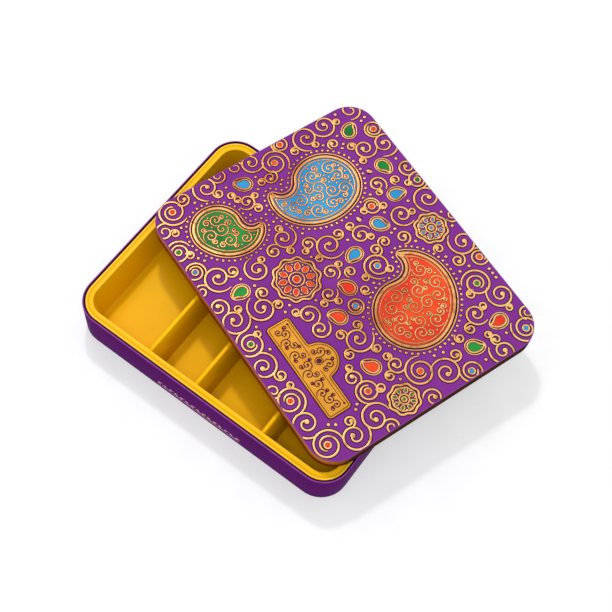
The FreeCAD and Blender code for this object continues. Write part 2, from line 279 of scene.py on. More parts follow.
def rounded(points, radii, steps=5):
    # A run of straight lines whose inner corners become arcs that touch both lines.
    points = np.array(points, float)
    path = [points[:1]]
    for before, corner, after, radius in zip(points, points[1:], points[2:], radii):
        back, ahead = before - corner, after - corner
        back, ahead = back / np.linalg.norm(back), ahead / np.linalg.norm(ahead)
        half = math.acos(np.clip(back @ ahead, -1, 1)) / 2
        middle = (back + ahead) / np.linalg.norm(back + ahead)
        centre = corner + middle * radius / math.sin(half)
        touch = corner + back * radius / math.tan(half)
        side = (touch - centre) / radius
        axis = -middle
        spread = math.pi / 2 - half
        across = side - axis * (side @ axis)
        across = across / np.linalg.norm(across)
        angle = np.linspace(spread, -spread, steps + 1)[:, None]
        path.append(centre + radius * (np.cos(angle) * axis + np.sin(angle) * across))
    return np.concatenate(path + [points[-1:]])


def sweep(walk, normals, profile):
    # Each profile point (inset, height) draws one ring: ring = walk - inset * normal.
    flat = walk[:, None, :] - profile[None, :, :1] * normals[:, None, :]
    height = np.broadcast_to(profile[None, :, 1:], flat.shape[:2] + (1,))
    return np.concatenate([flat, height], 2)


def plateDistance(points, length, width, corner):
    # distance to a rounded rectangle about the origin, negative inside it
    over = np.abs(points) - [length / 2 - corner, width / 2 - corner]
    return np.linalg.norm(np.maximum(over, 0), axis=1) + np.minimum(over.max(1), 0) - corner


def gridFaces(rows, columns, closeRows=False, closeColumns=False, first=0):
    # quads of a grid whose points are numbered row by row
    row = np.arange(rows if closeRows else rows - 1)[:, None]
    column = np.arange(columns if closeColumns else columns - 1)[None, :]
    nextRow, nextColumn = (row + 1) % rows, (column + 1) % columns
    corners = [row * columns + column, nextRow * columns + column]
    corners += [nextRow * columns + nextColumn, row * columns + nextColumn]
    return np.stack(np.broadcast_arrays(*corners), -1).reshape(-1, 4) + first


def weld(points, quads, polygons=()):
    # points that agree to a micrometre become one, and points without a face are dropped
    keys = np.round(points * 1000).astype(np.int64)
    _, kept, label = np.unique(keys, axis=0, return_index=True, return_inverse=True)
    label = label.reshape(-1)
    quads = label[quads]
    polygons = [label[polygon] for polygon in polygons]
    used = np.unique(np.concatenate([quads.reshape(-1), *polygons]))
    number = np.zeros(len(kept), np.int64)
    number[used] = np.arange(len(used))
    return points[kept[used]], number[quads], [number[polygon] for polygon in polygons]


def newPiece(name, points, quads, polygons, material, body, stands=(), crease=38.0):
    # points come in millimetres, in the shared frame
    mesh = bpy.data.meshes.new(name)
    faces = quads.tolist() + [np.asarray(polygon).tolist() for polygon in polygons]
    mesh.from_pydata((points * mm).tolist(), [], faces)
    mesh.polygons.foreach_set("use_smooth", np.ones(len(faces), bool))
    mesh.set_sharp_from_angle(angle=math.radians(crease))
    mesh.materials.append(material)
    piece = bpy.data.objects.new(name, mesh)
    bpy.context.scene.collection.objects.link(piece)
    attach(piece, body)
    if stands:
        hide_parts(*stands)
    return piece


def giveValue(piece, name, values):
    # one number for each point, which the piece's finish reads
    attribute = piece.data.attributes.new(name, "FLOAT", "POINT")
    attribute.data.foreach_set("value", np.asarray(values, np.float32))


def thicken(piece, thickness):
    # a wall behind the drawn face, of the sheet's own thickness
    wall = piece.modifiers.new("sheet", "SOLIDIFY")
    wall.thickness = thickness * mm
    wall.offset = -1.0
    wall.use_even_offset = True
    wall.use_quality_normals = True


# Base: a paper skin over a bent board band

base = {
    "length": 250.0, "width": 202.0, "height": 37.5, "corner": 23.0,
    "skinFoot": 0.3, "skinUnder": 14.0, "skinInside": 2.15, "skinTurnIn": 16.0, "paper": 0.2,
    "rimRound": 0.95, "rimInnerRound": 0.75, "footRound": 0.8, "highlightSpan": (0.1, 1.1),
    "bandOuter": 0.3, "bandInner": 1.7, "bandFoot": 0.6, "bandTop": 37.2, "bandRound": 0.6,
    "bandFootRound": 0.15, "seam": 0.4,
}


def makeSheet(name, size, profile, finish, body, stands, place=None, covered=False):
    # paper round a rounded rectangle, a ring for each point of the profile, the last one covered or open
    walk, normals = roundedWalk(size["length"], size["width"], size["corner"])
    rows, columns = len(walk), len(profile)
    grid = sweep(walk, normals, profile).reshape(-1, 3)
    quads = gridFaces(rows, columns, closeRows=True)
    cover = [np.arange(rows) * columns + columns - 1] if covered else []
    sheet = newPiece(name, place(grid) if place else grid, quads, cover, finish, body, stands, 60.0)
    thicken(sheet, size["paper"])
    return sheet, normals


def makeBaseSkin():
    top, inside = base["height"], base["skinInside"]
    corners = [(base["skinUnder"], base["skinFoot"]), (0, base["skinFoot"]), (0, top), (inside, top),
               (inside, top - base["skinTurnIn"])]
    profile = rounded(corners, [base["footRound"], base["rimRound"], base["rimInnerRound"]])
    skin, normals = makeSheet("base_skin", base, profile, basePurple, "base", ["base_wrap"])
    # painted highlight over the rim's outer arc, painted shade from there inwards, plain in the lowest quarter
    highlightFrom, highlightTo = base["highlightSpan"]
    atRim = profile[:, 1] > top - base["rimRound"]
    paintedRimLight = np.where(atRim & (profile[:, 0] > base["rimRound"] * highlightFrom), 1.0, 0.0)
    paintedRimLight[profile[:, 0] > base["rimRound"] * highlightTo] = -1.0
    paintedRimLight[profile[:, 1] < top / 4] = 0.0
    giveValue(skin, "paintedRimLight", np.tile(paintedRimLight, len(normals)))


def makeBand(name, size, body, stands, place=None):
    # a board strip bent to a ring, open at its butt joint, with softened edges
    outer, inner, foot, top = size["bandOuter"], size["bandInner"], size["bandFoot"], size["bandTop"]
    middle, crown, sole = (outer + inner) / 2, size["bandRound"], size["bandFootRound"]
    corners = [(middle, foot), (outer, foot), (outer, top), (inner, top), (inner, foot), (middle, foot)]
    profile = rounded(corners, [sole, crown, crown, sole], 3)[:-1]
    walk, normals = roundedWalk(size["length"], size["width"], size["corner"], gap=size["seam"])
    grid = sweep(walk, normals, profile).reshape(-1, 3)
    rows, columns = len(walk), len(profile)
    quads = gridFaces(rows, columns, closeColumns=True)
    ends = [np.arange(columns), (rows - 1) * columns + np.arange(columns)[::-1]]
    newPiece(name, place(grid) if place else grid, quads, ends, greyBoard, body, stands)


makeBaseSkin()
makeBand("base_band", base, "base", ["base_wall_board"])
print("base made")


# Tray: a ring stack for each cell, joined by the flange

tray = {
    "wellLength": 232.7, "wellWidth": 184.7, "wellCorner": 14.35, "sheet": 0.8,
    "floor": 3.7, "floorRings": (6.0, 2.6), "dividerTop": 35.7, "flangeTop": 37.2,
    "flange": 6.1, "shelf": 2.9, "lip": 5.05, "channel": 0.3, "channelSlope": 0.4,
    "bendRound": 0.3, "outerRound": 0.4, "outerDrop": 1.6,
    "highlightDepth": 0.5, "edgeHighlight": 0.6, "channelShade": 0.6, "dividerShade": 0.4, "dividerFoot": 0.2,
    "draft": 4.8, "divider": 3.0, "shares": (0.28, 0.186, 0.271, 0.263),
    "mouthCorner": 3.0, "footCorner": 2.0, "footRound": 1.8, "topRound": 1.25, "edgeRound": 0.8,
    "perCorner": 10, "perSide": 9,
}


def cellStack(left, right, hasLeft, hasRight):
    # Rows are steps of the wall's profile (inset from the mouth, height), columns go round the cell.
    # A divider's side follows the profile with the rounded top, a well wall's side the straight one,
    # and a corner between them blends the two by its turn. The last row is the tile's edge.
    half, floor, top = tray["wellWidth"] / 2, tray["floor"], tray["dividerTop"]
    draft, shoulder = tray["draft"], tray["divider"] / 2
    steps, (innerRing, outerRing) = 6, tray["floorRings"]
    overTop = rounded([(draft + innerRing, floor), (draft, floor), (0, top), (-shoulder, top)],
                      [tray["footRound"], tray["topRound"]], steps)
    overTop = np.insert(overTop, 1, [draft + outerRing, floor], 0)
    split = steps + 3
    rise = np.linspace(0, 1, 4)[1:-1, None]
    extra = overTop[split - 1] * (1 - rise) + overTop[split] * rise
    overTop = np.concatenate([overTop[:split], extra, overTop[split:]])
    upright = overTop.copy()
    climb = np.linspace(0, 1, len(overTop) - split + 1)[:, None]
    upright[split - 1:] = overTop[split - 1] * (1 - climb) + np.array([0, top]) * climb

    turn = np.linspace(0, 1, tray["perCorner"] + 1)
    arcs, onWell, wellNormals = [], [], []
    for sideX, sideY, quarter in ((-1, -1, 2), (1, -1, 3), (1, 1, 0), (-1, 1, 1)):
        angle = (turn + quarter) * math.pi / 2
        fromWall = turn if quarter % 2 else 1 - turn      # 0 at the well wall's end, 1 at the divider's end
        isDivider = hasRight if sideX > 0 else hasLeft
        weight = fromWall ** 2 * (3 - 2 * fromWall) if isDivider else np.zeros_like(turn)
        inset = upright[:, :1] * (1 - weight) + overTop[:, :1] * weight
        height = upright[:, 1:] * (1 - weight) + overTop[:, 1:] * weight
        deep = inset / draft
        radius = tray["mouthCorner"] + (tray["footCorner"] - tray["mouthCorner"]) * deep
        if not isDivider:
            radius = tray["wellCorner"] - inset
        edge = right if sideX > 0 else -left
        x = sideX * (edge - inset - radius) + radius * np.cos(angle)
        y = sideY * (half - inset - radius) + radius * np.sin(angle)
        if isDivider:
            along = np.clip(fromWall * 2, 0, 1)
            corner = tray["mouthCorner"]
            x[-1] = sideX * (edge - corner + (corner + shoulder) * along)
            y[-1] = sideY * (half - corner * np.clip(fromWall * 2 - 1, 0, 1))
            height[-1] = top
            wellNormals.append(np.stack([0 * turn, sideY + 0 * turn], 1))
            onWell.append(fromWall <= 0.5 + 1e-9)
        else:
            wellNormals.append(ways(angle))
            onWell.append(np.ones(len(turn), bool))
        arcs.append(np.stack([x, y, height], 2))

    run = np.linspace(0, 1, tray["perSide"] + 2)[1:-1]
    columns, wells, outs = [], [], []
    sides = [(True, (0, -1)), (not hasRight, (1, 0)), (True, (0, 1)), (not hasLeft, (-1, 0))]
    for index, (isWell, normal) in enumerate(sides):
        begin, end = arcs[index][:, -1:], arcs[(index + 1) % 4][:, :1]
        columns += [arcs[index], begin * (1 - run[:, None]) + end * run[:, None]]
        wells += [onWell[index], np.full(len(run), isWell)]
        outs += [wellNormals[index], np.repeat(np.array([normal], float), len(run), 0)]
    return np.concatenate(columns, 1), np.concatenate(wells), np.concatenate(outs)


def makeTray():
    length, width = tray["wellLength"], tray["flange"]
    top, edge, shelf, lip = tray["flangeTop"], tray["edgeRound"], tray["shelf"], tray["lip"]
    low, slope, bend = top - tray["channel"], tray["channelSlope"], tray["bendRound"]
    cells = len(tray["shares"])
    free = length - (cells - 1) * tray["divider"]
    # the flange's profile (outset, height): up the well, over the shelf, through the channel, over the lip
    rim = rounded([(0, tray["dividerTop"]), (0, top), (shelf, top), (shelf + slope, low), (lip - slope, low),
                   (lip, top), (width, top), (width, top - tray["outerDrop"])],
                  [edge, bend, bend, bend, bend, tray["outerRound"]], 4)
    left, points, quads, floors, dividers, count = -length / 2, [], [], [], [], 0
    for index, share in enumerate(tray["shares"]):
        right = left + share * free
        stack, onWell, outs = cellStack(left, right, index > 0, index < cells - 1)
        rows, columns = stack.shape[:2]
        faces = gridFaces(rows, columns, closeColumns=True, first=count)
        points.append(stack.reshape(-1, 3))
        quads.append(faces)
        floors.append(np.arange(columns) + count)
        count += rows * columns
        ledge = stack[-1, None, :, :2] + rim[:, None, :1] * outs[None]
        height = np.broadcast_to(rim[:, None, 1:], ledge.shape[:2] + (1,))
        faces = gridFaces(len(rim), columns, closeColumns=True).reshape(len(rim) - 1, columns, 4)
        faces = faces[:, onWell & np.roll(onWell, -1)].reshape(-1, 4) + count
        points.append(np.concatenate([ledge, height], 2).reshape(-1, 3))
        quads.append(faces)
        count += len(rim) * columns
        dividers.append(right + tray["divider"] / 2)
        left = right + tray["divider"]
    merged, faces, floors = weld(np.concatenate(points), np.concatenate(quads), floors)
    piece = newPiece("moulded_tray", merged, faces, floors, trayYellow, "tray",
                     ["sweet_tray"], 50.0)
    # painted light by how far a point is out from the well's mouth: a painted highlight on the lip, a paler one
    # on the edge, painted shade in the channel
    out = plateDistance(merged[:, :2], length, tray["wellWidth"], tray["wellCorner"])
    level = merged[:, 2]
    high = level > top - tray["highlightDepth"]
    toneAndPaintedLight = np.where(high & (out > lip - slope / 4), 1.0, 0.0)
    toneAndPaintedLight += np.where(high & (out < edge), tray["edgeHighlight"], 0.0)
    toneAndPaintedLight -= np.where((out > shelf + slope / 2) & (out < lip - slope / 2), tray["channelShade"], 0.0)
    # painted shade: a divider's sides darken towards their foot: least + (1 - least) * (top - level) / height
    foot, crown, least = tray["floor"], tray["dividerTop"], tray["dividerShade"]
    off = np.abs(merged[:, :1] - np.array(dividers[:-1])).min(1)      # no divider after the last cell
    wall = (level > foot + tray["dividerFoot"]) & (level < crown - tray["topRound"])
    wall &= off < tray["divider"] / 2 + tray["draft"]
    wall &= np.abs(merged[:, 1]) < tray["wellWidth"] / 2 - tray["draft"]
    toneAndPaintedLight -= np.where(wall, least + (1 - least) * ((crown - level) / (crown - foot)), 0.0)
    giveValue(piece, "toneAndPaintedLight", toneAndPaintedLight)
    thicken(piece, tray["sheet"])


makeTray()
print("tray made")


# Lid: bronze skirt, printed top sheet, boards inside

lid = {
    "along": 28.25, "across": 46.6014, "turn": math.radians(-19.3), "level": 37.5,
    "length": 254.6, "width": 206.6, "corner": 23.2, "height": 13.0, "paper": 0.2,
    "inside": 1.95, "turnIn": 7.0, "skirtTop": 12.43, "footRound": 0.75, "trayReflectionGain": (1.1, 0.1),
    "sheetFoot": 12.45, "sheetRings": (1.5, 4.0), "edgeRound": 0.55, "highlightSpan": (0.02, 0.9), "wearAndHighlight": 0.8,
    "bandOuter": 0.3, "bandInner": 1.5, "bandFoot": 0.3, "bandTop": 11.1, "bandRound": 0.2,
    "bandFootRound": 0.15, "seam": 0.4,
}


def onLid(points):
    # from the lid's own middle to where it lies, askew on the rim
    cos, sin = math.cos(lid["turn"]), math.sin(lid["turn"])
    x, y, z = points.T
    laid = [x * cos - y * sin + lid["along"], x * sin + y * cos + lid["across"], z + lid["level"]]
    return np.stack(laid, 1)


def overLid(points):
    # distance past the lid's outline, in the lid's own place
    return plateDistance(points, lid["length"], lid["width"], lid["corner"])


def makeSkirt():
    # downwards inside, then upwards outside: the drawn face is the paper's printed side
    inside, bend = lid["inside"], lid["footRound"]
    profile = rounded([(inside, lid["turnIn"]), (inside, 0), (0, 0), (0, lid["skirtTop"])], [bend, bend])
    skirt, normals = makeSheet("lid_skirt", lid, profile, bronze, "lid",
                               ["lid_side_wrap"], onLid)
    gain, ground = lid["trayReflectionGain"]
    # painted reflection of the tray, strongest on faces that look to the front
    trayReflection = np.clip(gain * -normals[:, 1] + ground, 0, 1)      # by how far a face looks to the front
    giveValue(skirt, "trayReflection", np.repeat(trayReflection, len(profile)))


def makeTopSheet():
    height, edge = lid["height"], lid["edgeRound"]
    outerRing, innerRing = lid["sheetRings"]
    profile = rounded([(0, lid["sheetFoot"]), (0, height), (innerRing, height)], [edge], 6)
    profile = np.insert(profile, len(profile) - 1, [outerRing, height], 0)
    sheet, normals = makeSheet("lid_print", lid, profile, lidPurple, "lid",
                               ["lid_top_sheet"], onLid, True)
    # painted highlight along the print's rounded edge
    highlightFrom, highlightTo = lid["highlightSpan"]
    onEdge = (profile[:, 0] > highlightFrom * edge) & (profile[:, 0] < highlightTo * edge)
    giveValue(sheet, "paintedRimLight", np.tile(np.where(onEdge, lid["wearAndHighlight"], 0.0), len(normals)))


makeSkirt()
makeTopSheet()
makeBand("lid_band", lid, "lid", ["lid_wall_board"], onLid)
print("lid made")


# Ornament: raised gold lines and beads, coloured drops and rosettes, all on the lid's print

ornament = {
    "seed": 11, "rise": 0.24, "edge": 1.25, "shoulder": 0.12, "step": 0.0004, "sunk": 0.03, "border": 0.75,
    "dome": 0.16, "beadFoot": (1.45, 0.2), "ringLine": 1.1, "fillRise": 0.09, "fillEdge": 0.15,
    "outlineStep": 1.1, "grid": {"low": (-138, -114), "high": (138, 114), "pitch": 1.5},
    "labelMargin": 2.4, "scrollsPast": 6.0, "fillersInside": 2.0, "leastShoulder": 0.05,
    "curlStep": math.radians(14), "swell": ((0, 0.1, 0.6, 1), (0.6, 1.0, 0.95, 0.8)), "shine": (1.3, 0.8, 1.5),
    "scroll": {"largest": 12.5, "smallest": 3.0, "step": 0.35, "gap": 2.5, "eye": 1.7, "turns": (1.0, 0.055),
               "width": 1.5, "whim": 3.0, "uncut": 6.0, "cutShare": 1.1, "bead": (1.5, 0.03), "keepOff": 1.0},
    "jewel": {"least": 7.0, "every": 3, "eye": 4.6, "radius": 3.1,
              "finishes": ("red", "green", "red", "cyan")},
    "lace": {"largest": 6.4, "smallest": 1.8, "step": 0.25, "gap": 1.2, "eye": 0.85, "turns": (0.9, 0.10),
             "width": 1.1, "whim": 1.2, "inset": 4.2, "margin": 3.0, "pitch": 0.8, "startStep": 5,
             "bead": 0.95, "keepOff": 0.5, "kinds": ((2.0, "ring"), (1.0, "dot")), "dot": 0.85},
    "fillers": {"kinds": ((6.0, "flower"), (4.2, "ring"), (3.2, "leaf"), (2.0, "dot")),
                "dot": 1.2, "most": 400,
                "flower": {"used": 4.3, "eye": 2.0, "petals": 6, "reach": 3.3, "bead": 1.0},
                "leaf": {"used": 2.9, "length": 5.2, "tip": 0.3, "swell": 2.6},
                "ringMargin": 0.7, "largestRing": 2.9, "keepOff": 0.8,
                "finishes": ("red", "green", "cyan", "red")},
    "drop": {"lines": ((0.0, 1.9), (-2.9, 0.9), (2.9, 0.95)), "beadRow": (5.9, 4.6, 1.05),
             "leastHalf": 1.6, "groundInset": 1.0, "keepOff": 7.6, "startStep": 8},
    "drops": [
        {"finish": "red", "middle": (58, 26), "radius": 29, "length": 92, "heading": 112, "curl": 118},
        {"finish": "cyan", "middle": (-72, 34), "radius": 26, "length": 84, "heading": -62, "curl": -128},
        {"finish": "green", "middle": (-84, -62), "radius": 19, "length": 62, "heading": 20, "curl": 120},
    ],
    "buds": {"count": 12, "least": 13.0, "radius": 4.6, "length": 14.5, "curl": 55,
             "lines": ((0.0, 1.2), (2.3, 0.85)), "leastHalf": 0.9, "groundInset": 0.4, "keepOff": 4.4,
             "startStep": 9, "finishes": ("cyan", "red", "green")},
    "rosette": {"eye": 0.2, "ring": 0.33, "ringWidth": 1.1, "rims": ((0.0, 1.5, 0.055), (-2.6, 1.0, 0.03)),
                "petal": (0.42, 0.80), "petalHalf": 0.125, "petalStep": 0.9, "petalLine": 0.8,
                "beadAt": 0.72, "bead": 0.8, "keepOff": 2.0, "starts": 12},
    "rosettes": [
        {"finish": "red", "middle": (-14, -34), "radius": 18.5, "petals": 10},
        {"finish": "cyan", "middle": (6, 82), "radius": 13.0, "petals": 8},
        {"finish": "green", "middle": (112, -22), "radius": 12.0, "petals": 8},
    ],
}
label = {
    "middle": (52.0, -68.0), "length": 86.0, "width": 20.5, "corner": 3.0, "crest": 15.0, "crestFillet": 2.0,
    "thickness": 0.5, "bevel": 0.3, "groove": (1.2, 1.8), "grooveDepth": 0.1, "grooveSlope": 0.15,
    "margin": 2.8, "outline": 0.75, "outlineRise": 0.06, "edgeStep": 0.7,
    "hub": 1.5, "hubDrop": 0.6, "ring": 3.1, "ringGap": 0.5, "rule": (6.4, 7.0, 38.0), "ruleWidth": 0.496,
    "line": 0.62, "lineRise": 0.10, "lineEdge": 0.3, "pitch": 0.5, "starts": (6.0, 5.0, 3.0),
    "endBead": 0.6, "curlBead": 0.62, "beadHeight": 0.5,
    "curl": {"largest": 4.4, "smallest": 1.5, "step": 0.2, "gap": 1.15, "eye": 0.6, "turns": (0.95, 0.09),
             "width": 0.82, "whim": 0.6},
}


def evenPath(points, spacing, closed=False):
    # the same line with points at even steps along it
    if closed:
        points = np.concatenate([points, points[:1]])
    run = np.concatenate([[0], np.cumsum(np.linalg.norm(np.diff(points, axis=0), axis=1))])
    count = max(int(round(run[-1] / spacing)), 6)
    at = np.linspace(0, run[-1], count + 1)
    at = at[:-1] if closed else at
    return np.stack([np.interp(at, run, points[:, 0]), np.interp(at, run, points[:, 1])], 1)


def outwardNormals(loop):
    # across the line between each point's two neighbours, away from the inside
    ahead = np.roll(loop, -1, 0) - np.roll(loop, 1, 0)
    normals = np.stack([ahead[:, 1], -ahead[:, 0]], 1)
    normals = normals / np.maximum(np.linalg.norm(normals, axis=1, keepdims=True), 1e-9)
    ring = np.roll(loop, -1, 0)
    return normals * np.sign(np.sum(loop[:, 0] * ring[:, 1] - ring[:, 0] * loop[:, 1]))


def grown(loop, amount, rounds=8):
    # an outline moved outwards (or inwards) in small steps and smoothed, so that a tip doesn't fold
    for _ in range(rounds if amount else 0):
        loop = evenPath(loop + outwardNormals(loop) * amount / rounds, ornament["outlineStep"], True)
        loop = 0.5 * loop + 0.25 * (np.roll(loop, 1, 0) + np.roll(loop, -1, 0))
    return loop


def loopDistance(points, loop):
    # distance to a closed outline, negative inside it (by winding number)
    result = []
    for some in np.array_split(points, max(len(points) // 3000, 1)):
        along = (np.roll(loop, -1, 0) - loop)[None]
        away = some[:, None, :] - loop[None]
        part = np.clip((away * along).sum(2) / (along * along).sum(2), 0, 1)
        near = np.linalg.norm(away - along * part[..., None], axis=2).min(1)
        side = along[..., 0] * away[..., 1] - along[..., 1] * away[..., 0]
        below, nextBelow = away[..., 1] >= 0, np.roll(away[..., 1], -1, 1) >= 0
        winding = (below & ~nextBelow & (side > 0)).sum(1) - (~below & nextBelow & (side < 0)).sum(1)
        result.append(np.where(winding != 0, -near, near))
    return np.concatenate(result)


def keptOnLid(points):
    # points past the print's border are pulled back to it
    inset = ornament["border"]
    radius = lid["corner"] - inset
    core = np.array([lid["length"], lid["width"]]) / 2 - lid["corner"]
    centre = np.clip(points, -core, core)
    away = points - centre
    reach = np.linalg.norm(away, axis=1, keepdims=True)
    return centre + away * np.minimum(1, radius / np.maximum(reach, 1e-9))


class Clearance:
    # free distance to whatever is drawn already, on a grid
    def __init__(self, low, high, pitch):
        self.low, self.pitch = np.array(low, float), pitch
        axes = [np.arange(a, b + pitch, pitch) for a, b in zip(low, high)]
        self.shape = tuple(len(axis) for axis in axes)
        self.points = np.stack(np.meshgrid(*axes, indexing="ij"), -1).reshape(-1, 2)
        self.free = np.full(len(self.points), 1e3)

    def limit(self, distance):
        self.free = np.minimum(self.free, distance)

    def keepRound(self, middle, radius, spare):
        self.limit(np.linalg.norm(self.points - middle, axis=1) - radius - spare)

    def at(self, points):
        # read between the grid's points
        where = (points - self.low) / self.pitch
        cell = np.clip(where.astype(int), 0, np.array(self.shape) - 2)
        x, y = np.clip(where - cell, 0, 1).T
        grid, (i, j) = self.free.reshape(self.shape), cell.T
        lower = grid[i, j] * (1 - x) + grid[i + 1, j] * x
        upper = grid[i, j + 1] * (1 - x) + grid[i + 1, j + 1] * x
        return lower * (1 - y) + upper * y


def curlTurns(radius, style):
    return style["turns"][0] + style["turns"][1] * radius


def curlRadius(radius, turned, eye, style):
    # the radius falls evenly from the curl's own to its eye's
    return radius - (radius - eye) * turned / (2 * math.pi * curlTurns(radius, style))


def growCurls(clearance, starts, style, rng):
    # Curls grow from outlines and then from each other, the largest that fits first.
    # A curl touches its parent's line from outside and turns the other way, so the two make an S.
    sink, ease, far = 0.6, 0.55, 99.0     # into an outline, share of the gap to one, and past any gap
    bearing = np.radians(np.arange(40, 331, 15))      # where along its turn a curl may bear another
    radii = np.arange(style["largest"], style["smallest"], -style["step"])
    curls, circles = [], np.zeros((0, 3))
    pool = [(np.array(point), np.array(away), spin, -1) for point, away, spin in starts]
    while pool:
        points, aways = np.array([item[0] for item in pool]), np.array([item[1] for item in pool])
        parents = np.array([item[3] for item in pool])
        centres = points[:, None] + aways[:, None] * radii[None, :, None]
        margin = np.where(parents < 0, -sink, ease * style["gap"])[:, None]
        fits = clearance.at(centres.reshape(-1, 2)).reshape(centres.shape[:2]) >= radii + margin
        if len(circles):
            gaps = np.linalg.norm(centres[:, :, None] - circles[:, :2], axis=3)
            gaps = gaps - circles[:, 2] - radii[:, None]
            own = np.arange(len(circles)) == parents[:, None]
            fits &= (gaps + far * own[:, None, :] >= style["gap"]).all(2)
        alive = fits.any(1)
        pool = [item for item, keep in zip(pool, alive) if keep]
        if not pool:
            break
        best = radii[fits[alive].argmax(1)]
        chosen = int(np.argmax(best + rng.uniform(0, style["whim"], len(best))))
        radius = float(best[chosen])
        point, away, spin, _ = pool.pop(chosen)
        centre = point + away * radius
        entry = math.atan2(-away[1], -away[0])
        curls.append({"middle": centre, "radius": radius, "entry": entry, "spin": spin})
        circles = np.concatenate([circles, [[*centre, radius]]])
        for turned in bearing:
            reach = curlRadius(radius, turned, style["eye"], style)
            out = way(entry + spin * turned)
            pool.append((centre + out * reach, out, -spin, len(curls) - 1))
    return curls


def curlLine(curl, eye, style):
    # point = middle + falling radius * (cos, sin), thin where it leaves its parent and towards its eye:
    # width = the style's * (0.85 + 0.15 * radius / largest) * swell
    radius = curl["radius"]
    total = 2 * math.pi * curlTurns(radius, style)
    turned = np.linspace(0, total, max(int(total / ornament["curlStep"]), 10))
    angle = curl["entry"] + curl["spin"] * turned
    reach = curlRadius(radius, turned, eye, style)[:, None]
    line = curl["middle"] + reach * ways(angle)
    swell = np.interp(turned / total, *ornament["swell"])
    return line, style["width"] * (0.85 + 0.15 * radius / style["largest"]) * swell


def dropSpine(drop):
    # a round end, then a tail that narrows by a cosine and bends more and more:
    # half width = radius * (0.5 + 0.5 * cos(pi * tail)) ^ 0.62, angle = heading + curl * tail ^ 1.5
    radius, length, heading = drop["radius"], drop["length"], math.radians(drop["heading"])
    run = radius * (1 - np.cos(np.linspace(0, math.pi / 2, 14)))
    run = np.concatenate([run, np.linspace(radius, length, 70)[1:]])
    tail = np.clip((run - radius) / (length - radius), 0, 1)
    angle = heading + math.radians(drop["curl"]) * tail ** 1.5
    between = (angle + np.roll(angle, 1)) / 2
    between[0] = heading
    steps = np.diff(run, prepend=0)[:, None] * ways(between)
    spine = np.array(drop["middle"]) - radius * way(heading) + steps.cumsum(0)
    swell = np.sqrt(np.maximum(radius ** 2 - (radius - run) ** 2, 0))
    half = np.where(run < radius, swell, radius * (0.5 + 0.5 * np.cos(math.pi * tail)) ** 0.62)
    return spine, np.stack([-np.sin(angle), np.cos(angle)], 1), half


def spineOutline(spine, normal, half, step):
    # once round a spine, at half its width to either side
    left, right = spine + normal * half[:, None], spine - normal * half[:, None]
    return evenPath(np.concatenate([left, right[-2:0:-1]]), step, True)


def beadFoot(radius):
    # a bead's foot is wider than its dome
    share, more = ornament["beadFoot"]
    return radius * share + more


class Drawing:
    # what is drawn: lines with their widths, beads with their finish, and coloured grounds about a spine
    def __init__(self):
        self.lines, self.beads, self.fills = [], [], []

    def line(self, points, width, closed=False):
        self.lines.append((points, np.broadcast_to(width, len(points)), closed))

    def bead(self, middle, radius, finish="gold"):
        # drawn only where its whole foot lies on the print
        if overLid(np.atleast_2d(middle))[0] < -(beadFoot(radius) + ornament["border"]):
            self.beads.append((*middle, radius, finish))
            return True
        return False

    def ring(self, middle, radius, width, steps=22):
        angle = np.linspace(0, 2 * math.pi, steps, endpoint=False)
        self.line(np.array(middle) + radius * ways(angle), width, True)

    def ringBead(self, middle, radius, finish):
        # a coloured bead in a gold ring
        line = ornament["ringLine"]
        if self.bead(middle, radius / 2, finish):
            self.ring(middle, radius - line / 2, line, 18)

    def beadsOf(self, finish):
        return [bead[:3] for bead in self.beads if bead[3] == finish]


def alternating(points, aways, step):
    # every so many points may start a curl, turning one way and the other by turns
    return [(points[i], aways[i], 1 if i // step % 2 else -1) for i in range(0, len(points), step)]


def drawDrop(drawing, clearance, drop, style):
    # outlines, the coloured ground inside, and the places outside from which scrolls grow
    spine, normal, half = dropSpine(drop)
    outline = spineOutline(spine, normal, half, ornament["outlineStep"])
    for out, width in style["lines"]:
        drawing.line(grown(outline, out), width, True)
    wide = half > style["leastHalf"]
    drawing.fills.append((spine[wide], normal[wide], half[wide] - style["groundInset"], drop["finish"]))
    edge = grown(outline, style["keepOff"])
    clearance.limit(loopDistance(clearance.points, edge))
    return outline, alternating(edge, outwardNormals(edge), style["startStep"])


def drawLace(drawing, outline, rng):
    # fine curls, rings and dots on a coloured ground
    style = ornament["lace"]
    inner = grown(outline, -style["inset"])
    space = Clearance(inner.min(0) - style["margin"], inner.max(0) + style["margin"], style["pitch"])
    space.limit(-loopDistance(space.points, inner))
    seeds = alternating(inner, -outwardNormals(inner), style["startStep"])
    for curl in growCurls(space, seeds, style, rng):
        line, width = curlLine(curl, style["eye"], style)
        drawing.line(line, width)
        drawing.bead(line[-1], style["bead"])
        space.keepRound(curl["middle"], curl["radius"], style["keepOff"])
    fillGaps(drawing, space, style["kinds"], style["dot"], rng)


def drawDrops(drawing, clearance, rng):
    starts, style = [], ornament["drop"]
    row, pitch, bead = style["beadRow"]
    for drop in ornament["drops"]:
        outline, outside = drawDrop(drawing, clearance, drop, style)
        starts += outside
        for middle in evenPath(grown(outline, row), pitch, True):
            drawing.bead(middle, bead)
        drawLace(drawing, outline, rng)
    return starts


